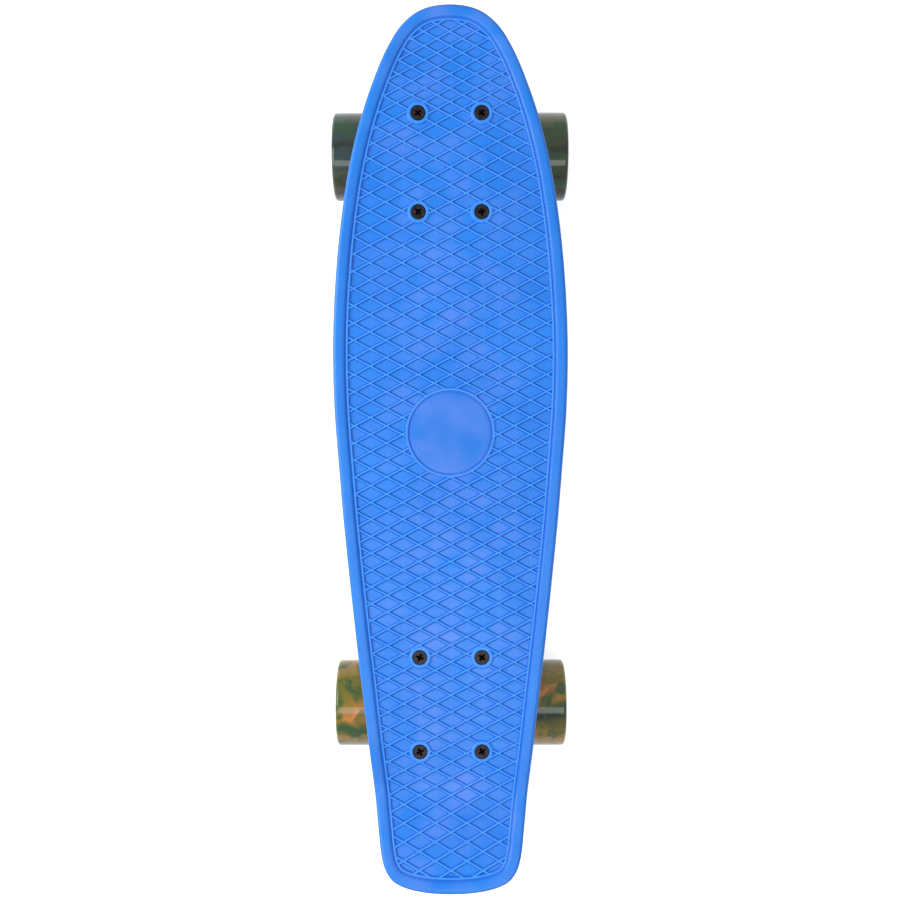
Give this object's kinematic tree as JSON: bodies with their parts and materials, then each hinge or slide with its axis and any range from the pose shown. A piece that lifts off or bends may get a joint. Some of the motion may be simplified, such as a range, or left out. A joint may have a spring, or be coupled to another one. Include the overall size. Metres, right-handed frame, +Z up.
{
  "type": "cruiser skateboard",
  "caption": "Small moulded-plastic cruiser skateboard with a diamond-ridged top, kicked tail, bushing-sprung steering trucks and marbled wheels.",
  "frame": {"origin": "on the ground under the middle of the board's bounding box", "axes": "+Y towards the nose, +X to the right, +Z up"},
  "size_m": [0.16, 0.576, 0.1128],
  "materials": {
    "deck_plastic": "satin-gloss blue moulded polypropylene, moulded diamond ridges on the top",
    "cast_aluminium": "tumbled sand-cast aluminium",
    "bright_steel": "bright zinc and ground steel",
    "black_steel": "black oxide",
    "bushing_urethane": "blue urethane",
    "pivot_cup_rubber": "black urethane",
    "green_wheel_urethane": "glossy urethane marbled in dark green, olive and slate",
    "tan_wheel_urethane": "glossy urethane marbled in tan, orange, olive and dark green"
  },
  "bodies": {
    "deck": {"deck": "deck_plastic", "front_baseplate": "cast_aluminium", "front_pivot_cup": "pivot_cup_rubber", "front_kingpin": "black_steel", "front_kingpin_nut": "black_steel", "front_boardside_bushing": "bushing_urethane", "front_roadside_bushing": "bushing_urethane", "front_boardside_washer": "bright_steel", "front_roadside_washer": "bright_steel", "front_deck_bolt_1": "black_steel", "front_deck_bolt_2": "black_steel", "front_deck_bolt_3": "black_steel", "front_deck_bolt_4": "black_steel", "front_lock_nut_1": "black_steel", "front_lock_nut_2": "black_steel", "front_lock_nut_3": "black_steel", "front_lock_nut_4": "black_steel", "rear_baseplate": "cast_aluminium", "rear_pivot_cup": "pivot_cup_rubber", "rear_kingpin": "black_steel", "rear_kingpin_nut": "black_steel", "rear_boardside_bushing": "bushing_urethane", "rear_roadside_bushing": "bushing_urethane", "rear_boardside_washer": "bright_steel", "rear_roadside_washer": "bright_steel", "rear_deck_bolt_1": "black_steel", "rear_deck_bolt_2": "black_steel", "rear_deck_bolt_3": "black_steel", "rear_deck_bolt_4": "black_steel", "rear_lock_nut_1": "black_steel", "rear_lock_nut_2": "black_steel", "rear_lock_nut_3": "black_steel", "rear_lock_nut_4": "black_steel"},
    "front_hanger": {"front_hanger": "cast_aluminium", "front_axle": "bright_steel", "front_left_axle_sleeve": "bright_steel", "front_left_axle_nut": "black_steel", "front_right_axle_sleeve": "bright_steel", "front_right_axle_nut": "black_steel"},
    "front_left_wheel": {"front_left_wheel": "green_wheel_urethane", "front_left_inboard_bearing": "bright_steel", "front_left_outboard_bearing": "bright_steel"},
    "front_right_wheel": {"front_right_wheel": "green_wheel_urethane", "front_right_inboard_bearing": "bright_steel", "front_right_outboard_bearing": "bright_steel"},
    "rear_hanger": {"rear_hanger": "cast_aluminium", "rear_axle": "bright_steel", "rear_left_axle_sleeve": "bright_steel", "rear_left_axle_nut": "black_steel", "rear_right_axle_sleeve": "bright_steel", "rear_right_axle_nut": "black_steel"},
    "rear_left_wheel": {"rear_left_wheel": "tan_wheel_urethane", "rear_left_inboard_bearing": "bright_steel", "rear_left_outboard_bearing": "bright_steel"},
    "rear_right_wheel": {"rear_right_wheel": "tan_wheel_urethane", "rear_right_inboard_bearing": "bright_steel", "rear_right_outboard_bearing": "bright_steel"}
  },
  "joints": [
    {"name": "front_steer", "type": "hinge", "parent": "deck", "child": "front_hanger", "pos_m": [0, 0.16909, 0.04979], "axis": [0, 0.891, 0.454], "range_deg": [-10, 10], "stiffness_Nm_per_rad": 30, "deforming": ["front_boardside_bushing", "front_roadside_bushing"]},
    {"name": "front_left_wheel_spin", "type": "hinge", "parent": "front_hanger", "child": "front_left_wheel", "pos_m": [0, 0.2022, 0.03], "axis": [1, 0, 0], "continuous": true},
    {"name": "front_right_wheel_spin", "type": "hinge", "parent": "front_hanger", "child": "front_right_wheel", "pos_m": [0, 0.2022, 0.03], "axis": [1, 0, 0], "continuous": true},
    {"name": "rear_steer", "type": "hinge", "parent": "deck", "child": "rear_hanger", "pos_m": [0, -0.14929, 0.04979], "axis": [0, -0.891, 0.454], "range_deg": [-10, 10], "stiffness_Nm_per_rad": 30, "deforming": ["rear_boardside_bushing", "rear_roadside_bushing"]},
    {"name": "rear_left_wheel_spin", "type": "hinge", "parent": "rear_hanger", "child": "rear_left_wheel", "pos_m": [0, -0.1824, 0.03], "axis": [1, 0, 0], "continuous": true},
    {"name": "rear_right_wheel_spin", "type": "hinge", "parent": "rear_hanger", "child": "rear_right_wheel", "pos_m": [0, -0.1824, 0.03], "axis": [1, 0, 0], "continuous": true}
  ]
}
